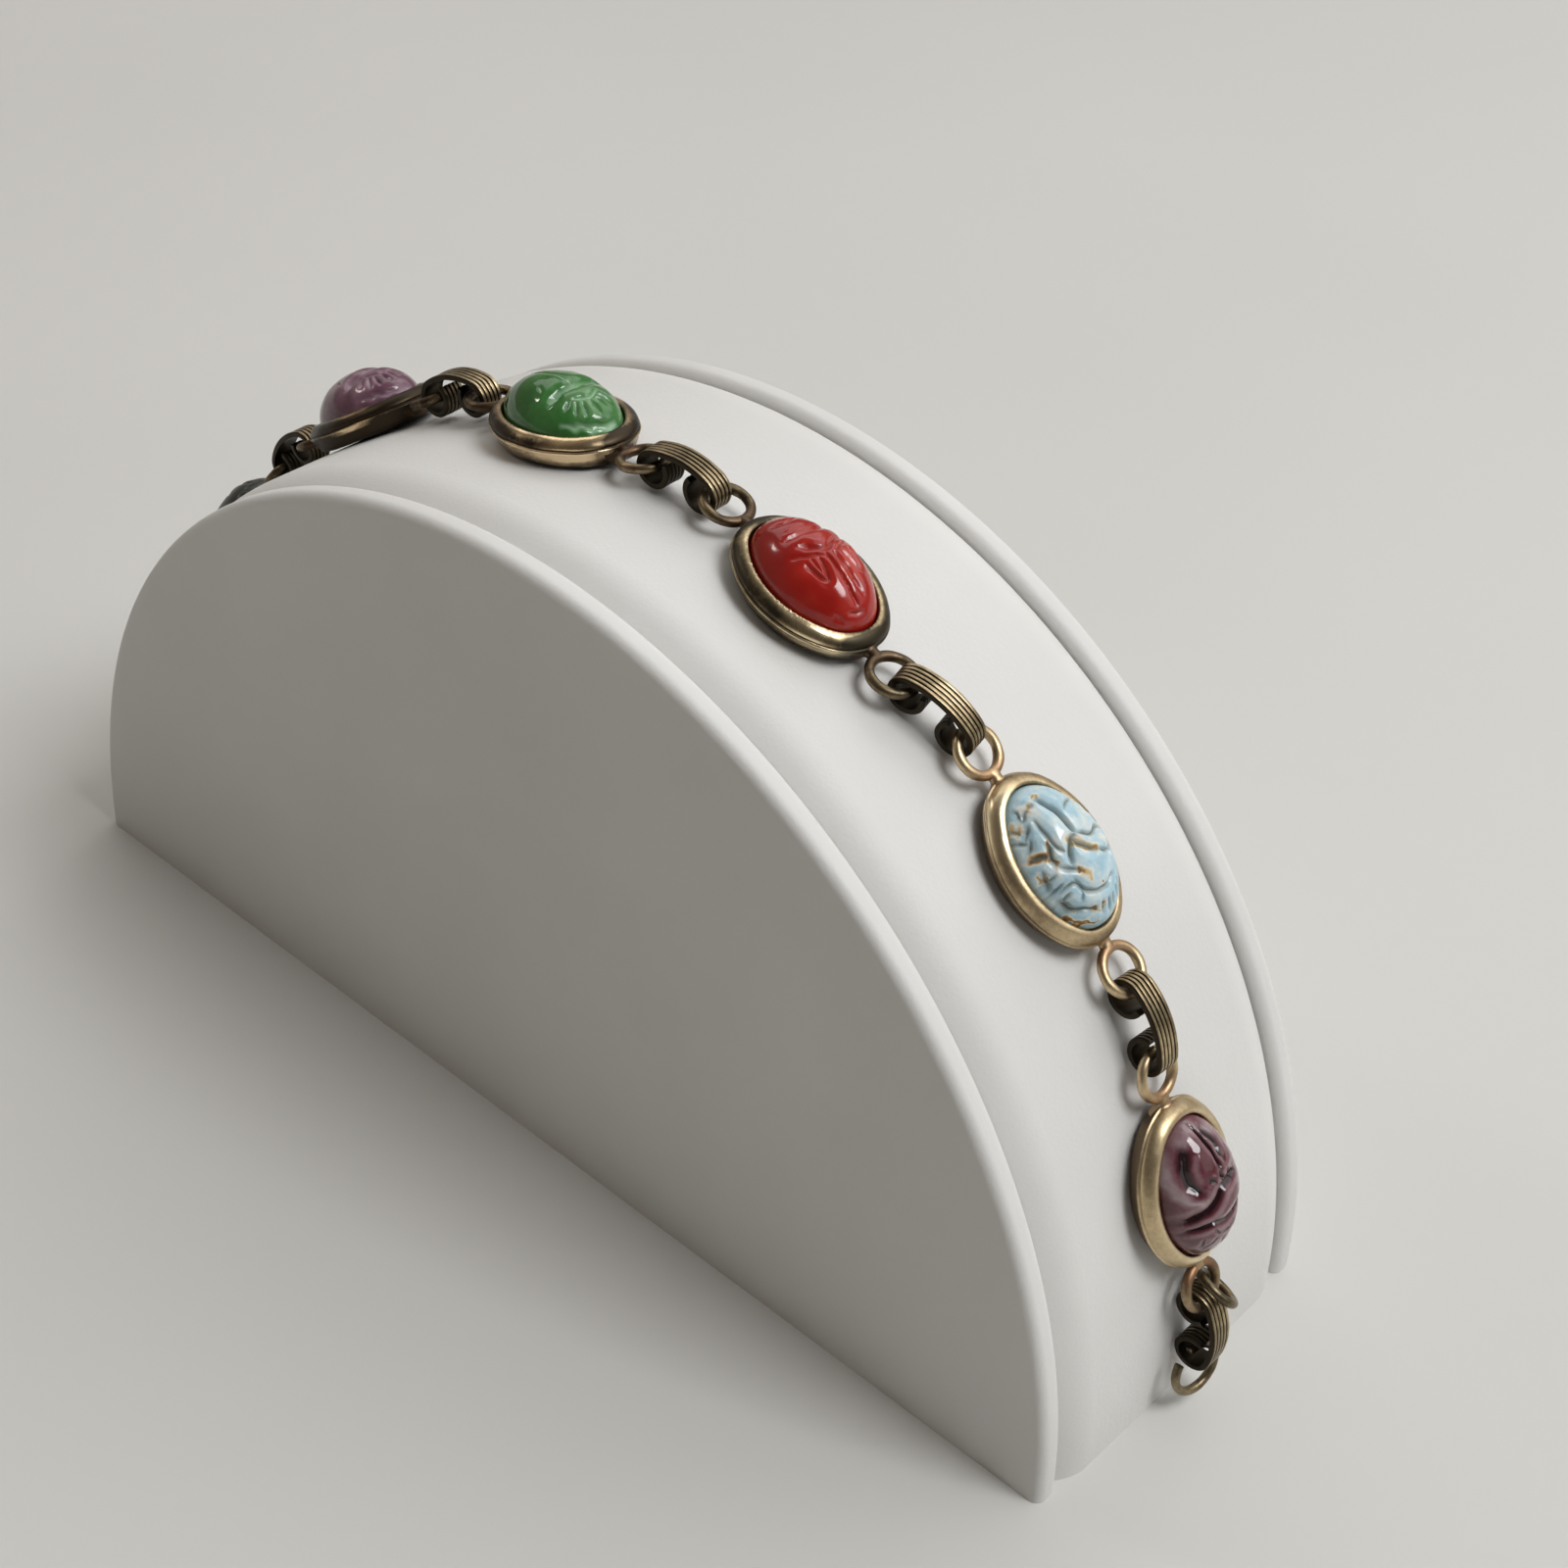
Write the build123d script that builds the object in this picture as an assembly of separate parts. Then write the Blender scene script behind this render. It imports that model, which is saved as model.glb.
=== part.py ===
from build123d import *
import os
from math import asin, atan, atan2, cos, degrees, hypot, radians, sin, sqrt

# A scarab bracelet laid over a half-moon display stand. Millimetres, +Z up.
# The origin is on the floor under the middle of the stand. +X runs along the stand to the end with the hook
# and +Y runs from the front panel to the back panel. An angle along the deck starts at +X and grows upwards.

# Stand
stand_radius = 60.0
stand_width = 35.6
panel_thickness = 2.4
panel_rim_radius = 0.9
deck_crown = 0.4
seam_drop = 1.0
deck_shoulder = 3.4
seam_gap = 0.15

# Settings
setting_length = 14.6
setting_width = 10.9
setting_end_radius = 4.4
rim_height = 2.5
rim_width = 0.3
rim_slope = 0.24
bezel_wall = 1.2
foot_inset = 0.7
ridge_height = 1.47
groove_height = 1.64
groove_depth = 0.14
collar_inset = 0.24
floor_thickness = 0.6
floor_joint = 0.24
seat_clearance = 0.15

# Stones
stone_height = 5.6
girdle_height = 1.9
stone_clearance = 0.12
carving_depth = 0.4
carving_width = 0.38

# Wire rings, soldered to both ends of each setting
ring_wire = 0.85
ring_radius = 1.9
ring_height = 1.05
neck_length = 0.25
neck_radius = 0.5
neck_root = 0.6
neck_root_radius = 1.0

# Ribbed links with rolled ends
link_width = 2.15
link_thickness = 0.5
link_ribs = 5
rib_depth = 0.14
roll_radius = 1.68
roll_spacing = 4.8
roll_turn = 285.0
arch_rise = 0.5
link_lift = -0.15
link_clearance = 0.08

# The rings at the ends of the bracelet. The loose ring's place and axis are in the frame of the first setting's
# ring, its place as shares of that ring's radius.
hook_ring_radius = 2.2
hook_ring_gap = 36.0
hook_ring_gap_at = 45.0
hook_ring_roll = -10.0
hook_ring_twist = -10.0
hook_link_drop = 0.22
jump_ring_radius = 1.8
jump_ring_place = (-0.50, -0.64, 0.25)
jump_ring_axis = (0.56, -0.67, 0.48)
end_ring_radius = 2.1

# Where the bracelet lies: its first stone's angle, and then a row for each stone. Pull and slide are of the
# link before the stone: how far its two rings are drawn apart and how far it has slid away from the hook, as
# shares of its play. Sideways is in millimetres towards the back panel, and twist is in degrees.
first_angle = 20.9
STONES = [
    # name, pull, slide, sideways, twist
    ("amethyst", 0.6, 0.2, -0.65, 1.0),
    ("turquoise", 0.45, -0.2, -0.98, 4.0),
    ("carnelian", 0.1, 0.25, -2.65, -4.5),
    ("jade", 0.35, 0.3, -1.75, -4.0),
    ("lilac", -0.8, 0.0, -1.3, 0.0),
    ("dark", 0.6, 0.0, -1.1, 0.0),
]

deck_radius = stand_radius + deck_crown
half_length = setting_length / 2
wire_radius = ring_wire / 2
ring_centre = half_length + neck_length + ring_radius + wire_radius
ring_reach = ring_centre + ring_radius
roll_middle = roll_radius - link_thickness / 2
roll_inner = roll_radius - link_thickness
# A held wire bows over the strip's width, so it rests this much inside its roll's middle, with this much play.
roll_rest = (ring_radius - sqrt(ring_radius ** 2 - (link_width / 2) ** 2)) / 2
roll_play = roll_inner - wire_radius - link_clearance - roll_rest


def half_turn(profile):
    """Turn a profile that is drawn in X and Y from +X over the top to -X."""
    return revolve(profile, Axis((0, 0, 0), (0, -1, 0)), 180)


def stand_panel():
    """A half-moon board with its rim rounded on both sides, lying from y = 0 towards +Y."""
    rim = panel_rim_radius
    flat = stand_radius - rim
    inner = (0, panel_thickness)
    profile = Polyline((flat, 0), (0, 0), inner, (flat, panel_thickness))
    profile += RadiusArc((flat, panel_thickness), (stand_radius, panel_thickness - rim), rim)
    profile += Line((stand_radius, panel_thickness - rim), (stand_radius, rim))
    profile += RadiusArc((stand_radius, rim), (flat, 0), rim)
    return half_turn(make_face(profile))


def stand_body():
    """The core between the panels; its deck is highest in the middle and rolls down to the seams."""
    edge = stand_width / 2 - panel_thickness - seam_gap
    seam = stand_radius - seam_drop
    drop = deck_radius - seam
    bend = (deck_shoulder ** 2 + drop ** 2) / (2 * drop)
    flat = edge - deck_shoulder
    profile = Polyline((seam, -edge), (0, -edge), (0, edge), (seam, edge))
    profile += RadiusArc((seam, edge), (deck_radius, flat), bend)
    profile += Line((deck_radius, flat), (deck_radius, -flat))
    profile += RadiusArc((deck_radius, -flat), (seam, -edge), bend)
    return half_turn(make_face(profile))


def oval_arcs(length, width, end_radius):
    """The four arcs of an oval: centre, radius, start angle and size in degrees."""
    reach = length / 2 - end_radius
    side_radius = (reach ** 2 + (width / 2) ** 2 - end_radius ** 2) / (width - 2 * end_radius)
    rise = side_radius - width / 2
    split = degrees(atan2(rise, reach))
    return [
        ((reach, 0), end_radius, -split, 2 * split),
        ((0, -rise), side_radius, split, 180 - 2 * split),
        ((-reach, 0), end_radius, 180 - split, 2 * split),
        ((0, rise), side_radius, 180 + split, 180 - 2 * split),
    ]


def oval_plate(inset, bottom, top):
    """A flat oval that lies inside the setting's outline by the inset."""
    arcs = oval_arcs(setting_length - 2 * inset, setting_width - 2 * inset, setting_end_radius - inset)
    edges = [CenterArc(centre, radius, start, size) for centre, radius, start, size in arcs]
    return Pos(0, 0, bottom) * extrude(make_face(edges), top - bottom)


def bezel_section(radius):
    """The wall of a setting, cut across: its foot widens to a ridge and a groove, under a round collar."""
    inner = radius - bezel_wall
    ridge = (radius, ridge_height)
    groove = (radius - groove_depth, groove_height)
    collar = (radius - collar_inset, (groove_height + rim_height) / 2)
    top = (inner + rim_width, rim_height)
    edges = Polyline((radius - foot_inset, 0), ridge, groove)
    edges += ThreePointArc(groove, collar, top)
    edges += Polyline(top, (inner, rim_height - rim_slope), (inner, 0), (radius - foot_inset, 0))
    return Plane.XZ * make_face(edges)


def bezel():
    """The setting's wall, run round its oval outline."""
    walls = []
    for centre, radius, start, size in oval_arcs(setting_length, setting_width, setting_end_radius):
        section = Rot(0, 0, start) * bezel_section(radius)
        walls.append(Pos(*centre, 0) * revolve(section, Axis.Z, size))
    return walls[0] + walls[1:]


def wire_ring(radius, turn=360.0):
    """A round wire ring about Z; a turn under 360 leaves it open at its +X side."""
    start = (360 - turn) / 2
    wire = Plane.XZ * (Pos(radius, 0) * Circle(wire_radius))
    return revolve(Rot(0, 0, start) * wire, Axis.Z, turn)


def setting():
    """A cup with its floor, two necks and two wire rings, all one soldered solid."""
    neck_end = ring_centre - ring_radius
    neck_start = half_length - neck_root
    neck = Pos((neck_start + neck_end) / 2, 0, ring_height) * Rot(0, 90, 0) * Cone(
        neck_root_radius, neck_radius, neck_end - neck_start
    )
    ring = Pos(ring_centre, 0, ring_height) * wire_ring(ring_radius)
    end = neck + ring
    floor = oval_plate(bezel_wall - floor_joint, 0, floor_thickness)
    return bezel() + floor + end + mirror(end, Plane.YZ)


def dome(inset):
    """The stone's rounded top, made smaller all over by the inset."""
    margin = bezel_wall + stone_clearance + inset
    sizes = (half_length - margin, setting_width / 2 - margin, stone_height - girdle_height - inset)
    half = Sphere(1) - Pos(0, 0, -1) * Box(2, 2, 2)
    return Pos(0, 0, girdle_height) * scale(half, by=sizes)


def carving_plan(length, width):
    """The carved lines seen from above, with the head at -X; length and width are the stone's."""
    back_line = Pos(-0.30 * length, 0) * (Circle(0.38 * width) - Circle(0.38 * width - carving_width))
    wings = []
    for side in (-1, 1):
        wings.append(Pos(0.02 * length, side * 0.11 * width) * Rot(0, 0, side * 16) * Rectangle(
            0.34 * length, carving_width))
        for place, lean in ((-0.22, 62), (-0.04, 40), (0.16, 24)):
            wings.append(Pos(place * length, side * 0.38 * width) * Rot(0, 0, side * lean) * Rectangle(
                0.20 * length, carving_width))
    split = Pos(0.30 * length, 0) * Rectangle(0.42 * length, carving_width)
    notches = [
        Pos(-0.46 * length, share * width) * Rectangle(0.10 * length, carving_width)
        for share in (-0.16, 0, 0.16)
    ]
    return back_line + wings + split + notches


def scarab():
    """A domed stone with its beetle carved into the top to an even depth."""
    margin = bezel_wall + stone_clearance
    length = setting_length - 2 * margin
    width = setting_width - 2 * margin
    foot = floor_thickness + stone_clearance
    base = Pos(0, 0, foot) * extrude(Ellipse(length / 2, width / 2), girdle_height - foot)
    lines = Pos(0, 0, rim_height) * extrude(carving_plan(length, width), stone_height)
    return base + dome(0) - (lines - dome(carving_depth))


def link_section(radius):
    """The strip cut across: flat inside and ribbed outside."""
    inside = radius - link_thickness / 2
    valley = radius + link_thickness / 2 - rib_depth
    crest = radius + link_thickness / 2
    rib = link_width / link_ribs
    edge = -link_width / 2
    edges = Polyline((edge, valley), (edge, inside), (-edge, inside), (-edge, valley))
    for count in range(link_ribs):
        start = edge + count * rib
        edges += ThreePointArc((start, valley), (start + rib / 2, crest), (start + rib, valley))
    return Plane.YZ * make_face(edges)


def link():
    """A ribbed strip arched outwards, with both ends rolled under; its rolls' centres lie at z = 0."""
    half = roll_spacing / 2
    lean = 2 * atan(arch_rise / half)
    offset = half / sin(lean)
    arch_radius = offset + roll_middle
    arch = Rot(0, -degrees(lean), 0) * link_section(arch_radius)
    arch = Pos(0, 0, -offset * cos(lean)) * revolve(arch, Axis.Y, 2 * degrees(lean))
    roll = Rot(0, degrees(lean), 0) * link_section(roll_middle)
    roll = Pos(half, 0, 0) * revolve(roll, Axis.Y, roll_turn)
    return arch + [roll, mirror(roll, Plane.YZ)]


def on_deck(angle, height, sideways, twist=0.0):
    """A place over the deck: x along the deck, z outwards."""
    along = Vector(-sin(radians(angle)), 0, cos(radians(angle)))
    outward = Vector(cos(radians(angle)), 0, sin(radians(angle)))
    origin = outward * (deck_radius + height) + Vector(0, sideways, 0)
    return Plane(origin=origin, x_dir=along, z_dir=outward).location * Rot(0, 0, twist)


os.makedirs("parts", exist_ok=True)


def save(shape, node):
    shape.label = node
    export_step(shape, "parts/" + node + ".step")


save(stand_body(), "stand_body")
save(Pos(0, -stand_width / 2, 0) * stand_panel(), "stand_front_panel")
save(Pos(0, stand_width / 2 - panel_thickness, 0) * stand_panel(), "stand_back_panel")

# Angles from a setting's middle to the middle of its wire ring and to the wire that the link holds.
ring_level = deck_radius + seat_clearance + ring_height
ring_angle = degrees(atan(ring_centre / ring_level))
wire_angle = degrees(atan(ring_reach / ring_level))
wire_distance = hypot(ring_reach, ring_level)


def link_turn(pull):
    """The angle from a held wire to the middle of its link."""
    return degrees(asin((roll_spacing / 2 - roll_rest + pull * roll_play) / wire_distance))


def ring_sideways(row, end):
    """How far towards the back a stone's wire ring lies; end is 1 for the ring further from the hook."""
    return row["sideways"] - end * ring_centre * sin(radians(row["twist"]))


def link_place(before, after, middle, pull, slide):
    """The place of a link: its middle's angle along the deck, turned to run from one ring to the next."""
    apart = 2 * hypot(ring_centre, ring_level) * sin(radians(wire_angle - ring_angle + link_turn(pull)))
    turn = -degrees(atan2(after - before, apart))
    height = wire_distance * cos(radians(link_turn(pull))) - deck_radius + link_lift
    return on_deck(middle, height, (before + after) / 2, turn) * Pos(slide * roll_play, 0, 0)


one_setting = setting()
one_scarab = scarab()
one_link = link()

rows = [dict(zip(("name", "pull", "slide", "sideways", "twist"), stone)) for stone in STONES]
angle = first_angle
for count, row in enumerate(rows):
    if count > 0:
        angle += 2 * wire_angle + 2 * link_turn(row["pull"])
        middle = angle - wire_angle - link_turn(row["pull"])
        sides = ring_sideways(rows[count - 1], 1), ring_sideways(row, -1)
        save(link_place(*sides, middle, row["pull"], row["slide"]) * one_link, "link_" + str(count))
    place = on_deck(angle, seat_clearance, row["sideways"], row["twist"])
    save(place * one_setting, "setting_" + row["name"])
    save(place * one_scarab, "scarab_" + row["name"])

# The end that shows: a link, the open ring that hangs in its lower roll, and a loose ring beside it.
first = rows[0]
side = ring_sideways(first, -1)
middle = first_angle - wire_angle - link_turn(first["pull"])
hook_place = link_place(side, side, middle, first["pull"], first["slide"]) * Pos(0, 0, -hook_link_drop)
save(hook_place * one_link, "hook_link")
hang = Pos(roll_rest - roll_spacing / 2, 0, 0) * Rot(0, 0, hook_ring_twist) * Pos(-hook_ring_radius, 0, 0)
open_ring = Rot(hook_ring_roll, 0, hook_ring_gap_at) * wire_ring(hook_ring_radius, 360 - hook_ring_gap)
save(hook_place * hang * open_ring, "hook_ring")

# The loose ring passes through the first setting's ring and leans over its link.
lean = Plane(
    origin=Vector(*jump_ring_place) * ring_radius + Vector(-ring_centre, 0, ring_height),
    z_dir=Vector(*jump_ring_axis),
)
first_place = on_deck(first_angle, seat_clearance, first["sideways"], first["twist"])
save(first_place * lean.location * wire_ring(jump_ring_radius), "jump_ring")

# The hidden end: a link and its closing ring.
side = ring_sideways(rows[-1], 1)
end_place = link_place(side, side, angle + wire_angle + link_turn(0), 0, 0)
save(end_place * one_link, "end_link")
save(end_place * Pos(roll_spacing / 2 + end_ring_radius, 0, 0) * wire_ring(end_ring_radius), "end_ring")
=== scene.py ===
from math import asin, atan, atan2, cos, degrees, hypot, pi, radians, sin, sqrt

import bpy
import numpy as np
from mathutils import Matrix, Vector


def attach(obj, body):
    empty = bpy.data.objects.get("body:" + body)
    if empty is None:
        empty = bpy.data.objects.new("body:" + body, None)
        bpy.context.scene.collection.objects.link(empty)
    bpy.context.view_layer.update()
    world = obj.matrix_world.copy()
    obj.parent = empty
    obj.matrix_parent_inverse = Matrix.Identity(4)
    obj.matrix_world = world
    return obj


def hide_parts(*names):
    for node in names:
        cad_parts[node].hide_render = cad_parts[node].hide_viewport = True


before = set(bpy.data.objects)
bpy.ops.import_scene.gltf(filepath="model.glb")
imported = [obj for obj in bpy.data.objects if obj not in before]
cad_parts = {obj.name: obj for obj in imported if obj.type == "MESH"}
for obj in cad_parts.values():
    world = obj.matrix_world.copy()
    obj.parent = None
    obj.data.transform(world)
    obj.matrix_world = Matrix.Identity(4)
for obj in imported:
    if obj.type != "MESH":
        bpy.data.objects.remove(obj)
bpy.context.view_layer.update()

# Sizes in millimetres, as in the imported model: the stand, the settings, the stones, the wire and the links.
MM = 0.001
STAND_RADIUS, STAND_WIDTH, PANEL, RIM = 60.0, 35.6, 2.4, 0.9
DECK_RADIUS, SEAM_RADIUS, SHOULDER, SEAM_GAP = 60.4, 59.0, 3.4, 0.15
LENGTH, WIDTH, END_RADIUS, WALL = 14.6, 10.9, 4.4, 1.2
SEAT = 0.15
STONE_TOP, GIRDLE, STONE_GAP = 5.6, 1.9, 0.12
WIRE, RING, RING_Z, NECK = 0.425, 1.9, 1.05, 0.25
LINK_WIDTH, LINK_THICK, RIBS, RIB_DEPTH = 2.15, 0.5, 5, 0.14
ROLL, SPACING, TURN, ARCH, LIFT, CLEAR = 1.68, 4.8, 285.0, 0.5, -0.15, 0.08

# A stone's half axes, a soldered ring's place and its angles seen from the stand's middle, and how far the
# end of a link lies in its ring and can play there.
HALF_A = LENGTH / 2 - WALL - STONE_GAP
HALF_B = WIDTH / 2 - WALL - STONE_GAP
RING_X = LENGTH / 2 + NECK + RING + WIRE
REACH = RING_X + RING
LEVEL = DECK_RADIUS + SEAT + RING_Z
RING_ANGLE, WIRE_ANGLE = degrees(atan(RING_X / LEVEL)), degrees(atan(REACH / LEVEL))
DISTANCE = hypot(REACH, LEVEL)
REST = (RING - sqrt(RING ** 2 - (LINK_WIDTH / 2) ** 2)) / 2
PLAY = ROLL - LINK_THICK - WIRE - CLEAR - REST

# name, pull, slide, sideways, twist: where each stone lies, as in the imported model.
STONES = [
    ("amethyst", 0.6, 0.2, -0.65, 1.0),
    ("turquoise", 0.45, -0.2, -0.98, 4.0),
    ("carnelian", 0.1, 0.25, -2.65, -4.5),
    ("jade", 0.35, 0.3, -1.75, -4.0),
    ("lilac", -0.8, 0.0, -1.3, 0.0),
    ("dark", 0.6, 0.0, -1.1, 0.0),
]
FIRST_ANGLE = 20.9


# Places.

def on_deck(angle, height, sideways, twist=0.0):
    """Matrix in millimetres of a place over the deck: x along the deck, y to the front, z outwards."""
    a, t = radians(angle), radians(twist)
    along, front, out = Vector((-sin(a), 0, cos(a))), Vector((0, -1, 0)), Vector((cos(a), 0, sin(a)))
    x = along * cos(t) + front * sin(t)
    y = front * cos(t) - along * sin(t)
    at = out * (DECK_RADIUS + height) + Vector((0, sideways, 0))
    return Matrix(((x.x, y.x, out.x, at.x), (x.y, y.y, out.y, at.y), (x.z, y.z, out.z, at.z), (0, 0, 0, 1)))


def link_turn(pull):
    """Half the angle that a link takes up between its two rings."""
    return degrees(asin((SPACING / 2 - REST + pull * PLAY) / DISTANCE))


def ring_side(row, end):
    """How far sideways the ring at one end of a stone's row lies."""
    return row[3] - end * RING_X * sin(radians(row[4]))


def link_place(before, after, middle, pull, slide):
    """Matrix of a link that goes from the side of one ring to that of the next."""
    apart = 2 * hypot(RING_X, LEVEL) * sin(radians(WIRE_ANGLE - RING_ANGLE + link_turn(pull)))
    turn = -degrees(atan2(after - before, apart))
    height = DISTANCE * cos(radians(link_turn(pull))) - DECK_RADIUS + LIFT
    return on_deck(middle, height, (before + after) / 2, turn) @ Matrix.Translation((slide * PLAY, 0, 0))


# Mesh helpers.

def quads(n, m, wrap_n=False, wrap_m=False):
    """Faces of an n by m grid of points."""
    i = np.arange(n if wrap_n else n - 1)
    j = np.arange(m if wrap_m else m - 1)
    a, b = np.meshgrid(i, j, indexing="ij")
    a2, b2 = (a + 1) % n, (b + 1) % m
    return np.stack([a * m + b, a2 * m + b, a2 * m + b2, a * m + b2], -1).reshape(-1, 4)


def noise(points, scale, seed=0.0):
    """Smooth noise from a few sines, about -1 to 1, the same on each run."""
    p = np.asarray(points, float) / scale + seed
    total = np.zeros(len(p))
    for k, (u, v, w, phase) in enumerate((
        (1.0, 0.7, -0.4, 0.3), (-0.6, 1.1, 0.8, 1.9), (0.9, -0.5, 1.2, 4.1),
        (-1.3, -0.9, 0.5, 2.7), (0.4, 1.6, -1.1, 5.3), (1.7, 0.2, 0.9, 0.9),
    )):
        total += np.sin(p[:, 0] * u * 2.1 + p[:, 1] * v * 2.3 + p[:, 2] * w * 1.9 + phase + k)
    return total / 3.4


SHARP_ANGLE = 55


class Parts:
    """Collects grids of points into one mesh, with a value for each point of dirt and painted shade (on the
    stones, of the carved lines) and of tint.
    """

    def __init__(self):
        self.points, self.faces, self.dirt, self.tint, self.count = [], [], [], [], 0

    def add(self, points, faces, dirt=0.0, tint=0.0):
        points = np.asarray(points, float).reshape(-1, 3)
        self.points.append(points)
        self.faces += [[int(k) + self.count for k in face] for face in faces]
        self.dirt.append(np.broadcast_to(np.asarray(dirt, float).reshape(-1), (len(points),)))
        self.tint.append(np.broadcast_to(np.asarray(tint, float).reshape(-1), (len(points),)))
        self.count += len(points)

    def build(self, name, place, material, node):
        """Makes the piece, its place in its mesh, and names its body and the node it replaces."""
        points = np.concatenate(self.points)
        matrix = np.array(place)
        world = (points @ matrix[:3, :3].T + matrix[:3, 3]) * MM
        mesh = bpy.data.meshes.new(name)
        mesh.from_pydata(world.tolist(), [], self.faces)
        for title, values in (("dirt", self.dirt), ("tint", self.tint)):
            layer = mesh.attributes.new(title, "FLOAT", "POINT")
            layer.data.foreach_set("value", np.concatenate(values).astype(np.float32))
        mesh.shade_smooth()
        mesh.set_sharp_from_angle(angle=radians(SHARP_ANGLE))
        mesh.materials.append(material)
        piece = bpy.data.objects.new(name, mesh)
        bpy.context.scene.collection.objects.link(piece)
        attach(piece, "root")
        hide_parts(node)


def smooth_line(points, per):
    """Catmull-Rom curve through the points."""
    p = np.asarray(points, float)
    p = np.vstack([2 * p[0] - p[1], p, 2 * p[-1] - p[-2]])
    out = []
    for k in range(1, len(p) - 2):
        t = np.linspace(0, 1, per, endpoint=False)[:, None]
        a, b, c, d = p[k - 1], p[k], p[k + 1], p[k + 2]
        square = (2 * a - 5 * b + 4 * c - d) * t ** 2
        cube = (3 * b - a - 3 * c + d) * t ** 3
        out.append(0.5 * (2 * b + (c - a) * t + square + cube))
    out.append(p[-2][None])
    return np.vstack(out)


# Materials.

class Nodes:
    """A node material with short calls for the nodes that are used here."""

    def __init__(self, name):
        self.material = bpy.data.materials.new(name)
        self.material.use_nodes = True
        self.tree = self.material.node_tree
        self.shader = self.tree.nodes["Principled BSDF"]
        self.place = self.new("ShaderNodeTexCoord").outputs["Object"]

    def new(self, kind, **values):
        node = self.tree.nodes.new(kind)
        for key, value in values.items():
            if hasattr(node, key):
                setattr(node, key, value)
            else:
                node.inputs[key.replace("_", " ")].default_value = value
        return node

    def link(self, a, b):
        self.tree.links.new(a, b)

    def attribute(self, name):
        return self.new("ShaderNodeAttribute", attribute_name=name).outputs["Fac"]

    def noise(self, scale, detail=3.0, roughness=0.55):
        node = self.new("ShaderNodeTexNoise", Scale=scale, Detail=detail, Roughness=roughness)
        self.link(self.place, node.inputs["Vector"])
        return node.outputs["Fac"]

    def cells(self, scale):
        node = self.new("ShaderNodeTexVoronoi", Scale=scale)
        self.link(self.place, node.inputs["Vector"])
        return node.outputs["Distance"]

    def math(self, kind, a, b=None, c=None, clamp=False):
        node = self.new("ShaderNodeMath", operation=kind, use_clamp=clamp)
        for k, value in enumerate((a, b, c)):
            if value is None:
                continue
            if hasattr(value, "is_linked"):
                self.link(value, node.inputs[k])
            else:
                node.inputs[k].default_value = value
        return node.outputs[0]

    def ramp(self, value, *stops):
        node = self.new("ShaderNodeValToRGB")
        self.link(value, node.inputs[0])
        ramp = node.color_ramp
        while len(ramp.elements) < len(stops):
            ramp.elements.new(0.5)
        for element, (at, colour) in zip(ramp.elements, stops):
            element.position = at
            if isinstance(colour, (int, float)):
                colour = (colour,) * 3
            element.color = (*colour, 1)
        return node.outputs["Color"]

    def mix(self, factor, a, b):
        node = self.new("ShaderNodeMix", data_type="RGBA")
        for value, socket in ((factor, node.inputs[0]), (a, node.inputs[6]), (b, node.inputs[7])):
            if hasattr(value, "is_linked"):
                self.link(value, socket)
            else:
                socket.default_value = value if isinstance(value, (int, float)) else (*value, 1)
        return node.outputs[2]

    def bump(self, height, strength, distance, after=None):
        node = self.new("ShaderNodeBump", Strength=strength, Distance=distance * MM)
        self.link(height, node.inputs["Height"])
        if after is not None:
            self.link(after, node.inputs["Normal"])
        self.link(node.outputs[0], self.shader.inputs["Normal"])
        return node.outputs[0]

    def map_smoothly(self, value, low, high, at_low, at_high):
        node = self.new("ShaderNodeMapRange", interpolation_type="SMOOTHSTEP",
                        From_Min=low, From_Max=high, To_Min=at_low, To_Max=at_high)
        self.link(value, node.inputs["Value"])
        return node.outputs["Result"]

    def put(self, **values):
        for key, value in values.items():
            socket = self.shader.inputs[key.replace("_", " ")]
            if hasattr(value, "is_linked"):
                self.link(value, socket)
            else:
                socket.default_value = value


def leatherette():
    """The stand's pale matt cover, with fine pores and a slight unevenness."""
    n = Nodes("leatherette")
    cloud = n.noise(28.0, detail=4.0)
    base = n.ramp(cloud, (0.3, (0.66, 0.655, 0.64)), (0.7, (0.72, 0.715, 0.70)))
    pores = n.cells(2600.0)
    fine = n.noise(4200.0, detail=2.0)
    wave = n.noise(160.0)
    n.put(Base_Color=base, Roughness=n.ramp(fine, (0.3, 0.52), (0.7, 0.64)))
    n.put(Specular_IOR_Level=0.35)
    first = n.bump(wave, strength=0.25, distance=0.10)
    second = n.bump(fine, strength=0.35, distance=0.03, after=first)
    n.bump(pores, strength=0.35, distance=0.03, after=second)
    return n.material


# Old brass: how much its dirt and painted shade and its specks count, its level where it is clean, and the
# tone of bare copper.
DIRT_SHADE_SHARE, SPECK_SHARE, CLEAN_LEVEL, COPPER = 0.75, 0.32, 0.275, (0.50, 0.27, 0.15)


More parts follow.
